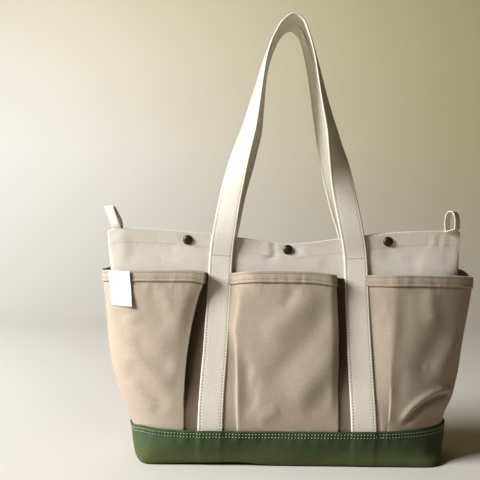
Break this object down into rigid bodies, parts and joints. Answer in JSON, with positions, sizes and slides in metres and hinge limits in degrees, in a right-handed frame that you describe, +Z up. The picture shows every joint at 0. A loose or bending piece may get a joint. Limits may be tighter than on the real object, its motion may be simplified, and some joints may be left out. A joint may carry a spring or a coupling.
{
  "type": "knitting bag",
  "caption": "Canvas knitting tote with a contrast base, pleated pockets all round, two long webbing handles, snap closure at the rim and corner loops.",
  "frame": {"origin": "middle of the underside of the base", "axes": "+X along the bag's width to the viewer's right, +Y from the front to the back, +Z up"},
  "size_m": [0.485, 0.126, 0.561],
  "materials": {
    "cream_canvas": "matte cotton canvas",
    "taupe_canvas": "matte cotton canvas",
    "green_canvas": "matte cotton canvas",
    "cream_webbing": "folded and stitched canvas webbing",
    "white_label": "smooth woven label",
    "aged_brass": "antique brass, satin"
  },
  "bodies": {
    "bag_body": {"base_boot": "green_canvas", "body_bottom": "cream_canvas", "body_end_left": "cream_canvas", "body_end_right": "cream_canvas", "pocket_end_left": "taupe_canvas", "pocket_end_right": "taupe_canvas", "label": "white_label"},
    "front_wall": {"body_front": "cream_canvas", "pocket_front_left": "taupe_canvas", "pocket_front_middle": "taupe_canvas", "pocket_front_right": "taupe_canvas", "strap_front_left": "cream_webbing", "strap_front_right": "cream_webbing", "snap_caps": "aged_brass", "snap_sockets": "aged_brass"},
    "back_wall": {"body_back": "cream_canvas", "pocket_back_left": "taupe_canvas", "pocket_back_middle": "taupe_canvas", "pocket_back_right": "taupe_canvas", "strap_back_left": "cream_webbing", "strap_back_right": "cream_webbing", "snap_studs": "aged_brass", "snap_backs": "aged_brass"},
    "front_handle": {"handle_front": "cream_webbing"},
    "back_handle": {"handle_back": "cream_webbing"},
    "left_loop": {"loop_left": "cream_webbing"},
    "right_loop": {"loop_right": "cream_webbing"}
  },
  "joints": [
    {"name": "mouth_front", "type": "hinge", "parent": "bag_body", "child": "front_wall", "pos_m": [0, -0.059, 0.04], "axis": [1, 0, 0], "range_deg": [0, 15]},
    {"name": "mouth_back", "type": "hinge", "parent": "bag_body", "child": "back_wall", "pos_m": [0, 0.059, 0.04], "axis": [-1, 0, 0], "range_deg": [0, 15]},
    {"name": "handle_front_swing", "type": "hinge", "parent": "front_wall", "child": "front_handle", "pos_m": [0, -0.0057, 0.2525], "axis": [1, 0, 0], "range_deg": [0, 120]},
    {"name": "handle_back_swing", "type": "hinge", "parent": "back_wall", "child": "back_handle", "pos_m": [0, 0.0057, 0.2525], "axis": [-1, 0, 0], "range_deg": [0, 120]},
    {"name": "loop_left_swing", "type": "hinge", "parent": "bag_body", "child": "left_loop", "pos_m": [-0.222, 0, 0.288], "axis": [1, 0, 0], "range_deg": [-75, 75]},
    {"name": "loop_right_swing", "type": "hinge", "parent": "bag_body", "child": "right_loop", "pos_m": [0.222, 0, 0.288], "axis": [1, 0, 0], "range_deg": [-75, 75]}
  ]
}
